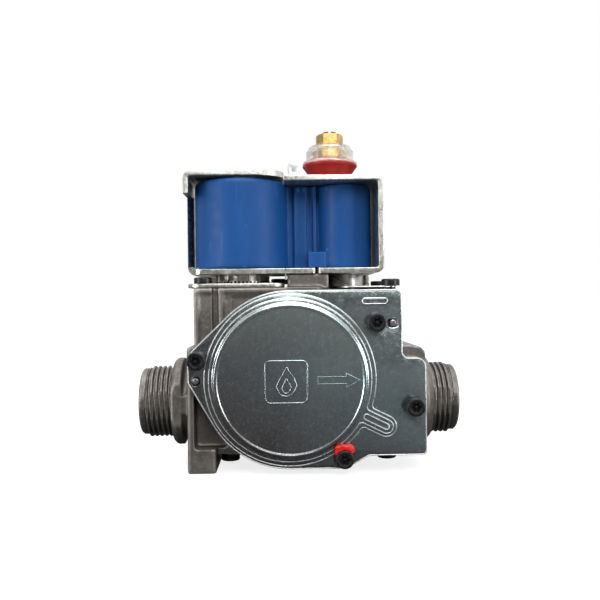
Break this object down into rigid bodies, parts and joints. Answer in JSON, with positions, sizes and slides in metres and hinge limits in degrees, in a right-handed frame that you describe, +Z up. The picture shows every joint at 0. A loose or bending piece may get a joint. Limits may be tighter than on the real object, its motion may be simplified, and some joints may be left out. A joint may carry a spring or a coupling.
{
  "type": "multifunction gas control valve",
  "caption": "Boiler gas control valve: threaded inlet and outlet, pressed diaphragm cover, solenoid shut-off coils in a steel yoke and a modulating pressure regulator.",
  "frame": {"origin": "centre of the bounding box's base, level with the underside of the foot", "axes": "+X along the ports in the direction of flow, +Y from the diaphragm cover towards the regulator at the back, +Z up"},
  "size_m": [0.117, 0.0836, 0.1327],
  "materials": {
    "casting": "die-cast, dull grey-brown",
    "zinc_steel": "zinc-plated pressed steel",
    "black_screw": "black oxide",
    "blue_moulding": "satin blue encapsulation",
    "red_plastic": "satin red",
    "red_lacquer": "tamper lacquer",
    "brass": "machined",
    "rubber": "nitrile rubber",
    "winding": "taped copper winding",
    "clear_cap": "clear plastic",
    "tinned": "tinned or nickel-plated",
    "iron": "machined steel",
    "spring_steel": "drawn wire"
  },
  "bodies": {
    "valve": {"valve_body": "casting", "regulator_housing": "casting", "diaphragm_cover": "zinc_steel", "bottom_cover": "zinc_steel", "ev1_flange_plate": "zinc_steel", "ev2_flange_plate": "zinc_steel", "ev1_lock_ring": "zinc_steel", "coil_yoke_left": "zinc_steel", "coil_yoke_right": "zinc_steel", "modulator_yoke": "zinc_steel", "coil_screw": "zinc_steel", "cover_screw_left": "black_screw", "cover_screw_top": "black_screw", "cover_screw_right": "black_screw", "cover_screw_bottom": "black_screw", "ev1_screw_1": "black_screw", "ev1_screw_2": "black_screw", "ev2_screw_1": "black_screw", "ev2_screw_2": "black_screw", "bottom_screw_1": "black_screw", "bottom_screw_2": "black_screw", "bottom_screw_3": "black_screw", "regulator_screw_1": "black_screw", "regulator_screw_2": "black_screw", "coil_moulding": "blue_moulding", "modulator_bobbin": "red_plastic", "tamper_seal": "red_lacquer", "rear_plug": "brass", "main_diaphragm": "rubber", "regulator_diaphragm": "rubber", "modulator_winding": "winding", "coil_terminal_1": "tinned", "coil_terminal_2": "tinned", "coil_terminal_3": "tinned", "modulator_terminal_1": "tinned", "modulator_terminal_2": "tinned", "inlet_test_nipple": "tinned", "outlet_test_nipple": "tinned", "inlet_strainer": "iron", "ev1_tube": "iron", "ev2_tube": "iron", "ev2_collar": "iron", "main_spring": "spring_steel", "ev1_spring": "spring_steel", "ev2_spring": "spring_steel", "regulator_spring": "spring_steel"},
    "ev1_valve": {"ev1_armature": "iron", "ev1_valve_disc": "rubber"},
    "ev2_valve": {"ev2_armature": "iron", "ev2_valve_pad": "rubber"},
    "main_valve": {"main_poppet": "iron", "diaphragm_plate": "tinned"},
    "regulator_valve": {"regulator_poppet": "iron", "modulator_armature": "iron"},
    "adjuster_seat": {"adjuster_spring_cup": "brass"},
    "max_adjuster": {"max_adjuster_nut": "brass"},
    "min_adjuster": {"min_adjuster_screw": "red_plastic"},
    "cap": {"adjuster_cap": "clear_cap"},
    "inlet_test_needle": {"inlet_test_screw": "black_screw"},
    "outlet_test_needle": {"outlet_test_screw": "black_screw"}
  },
  "joints": [
    {"name": "ev1_lift", "type": "slide", "parent": "valve", "child": "ev1_valve", "axis": [0, 0, 1], "range_m": [0, 0.0025], "stiffness_N_per_m": 300, "springref_m": -0.01, "deforming": ["ev1_spring"]},
    {"name": "ev2_lift", "type": "slide", "parent": "valve", "child": "ev2_valve", "axis": [0, 0, 1], "range_m": [0, 0.0015], "stiffness_N_per_m": 200, "springref_m": -0.006, "deforming": ["ev2_spring"]},
    {"name": "main_lift", "type": "slide", "parent": "valve", "child": "main_valve", "axis": [0, 1, 0], "range_m": [0, 0.003], "stiffness_N_per_m": 250, "springref_m": -0.01, "deforming": ["main_spring", "main_diaphragm"]},
    {"name": "regulator_lift", "type": "slide", "parent": "valve", "child": "regulator_valve", "axis": [0, 0, 1], "range_m": [0, 0.0008], "stiffness_N_per_m": 150, "springref_m": -0.004, "deforming": ["regulator_diaphragm"]},
    {"name": "adjuster_travel", "type": "slide", "parent": "valve", "child": "adjuster_seat", "axis": [0, 0, 1], "range_m": [-0.00088, 0.0006], "deforming": ["regulator_spring"]},
    {"name": "max_adjuster_turn", "type": "hinge", "parent": "adjuster_seat", "child": "max_adjuster", "pos_m": [0.0152, 0.02477, 0.1274], "axis": [0, 0, 1], "range_deg": [-400, 270]},
    {"name": "min_adjuster_turn", "type": "hinge", "parent": "max_adjuster", "child": "min_adjuster", "pos_m": [0.0152, 0.02477, 0.1314], "axis": [0, 0, 1], "range_deg": [-180, 180]},
    {"name": "cap_lift", "type": "slide", "parent": "valve", "child": "cap", "axis": [0, 0, 1], "range_m": [0, 0.015]},
    {"name": "inlet_test_turn", "type": "hinge", "parent": "valve", "child": "inlet_test_needle", "pos_m": [-0.024, 0.01277, 0.0494], "axis": [0, 0, 1], "range_deg": [0, 720]},
    {"name": "outlet_test_turn", "type": "hinge", "parent": "valve", "child": "outlet_test_needle", "pos_m": [0.0375, 0.01277, 0.0494], "axis": [0, 0, 1], "range_deg": [0, 720]}
  ],
  "couplings": [
    {"joint": "max_adjuster_turn", "follows": "adjuster_travel", "rad_per_m": 7854}
  ]
}
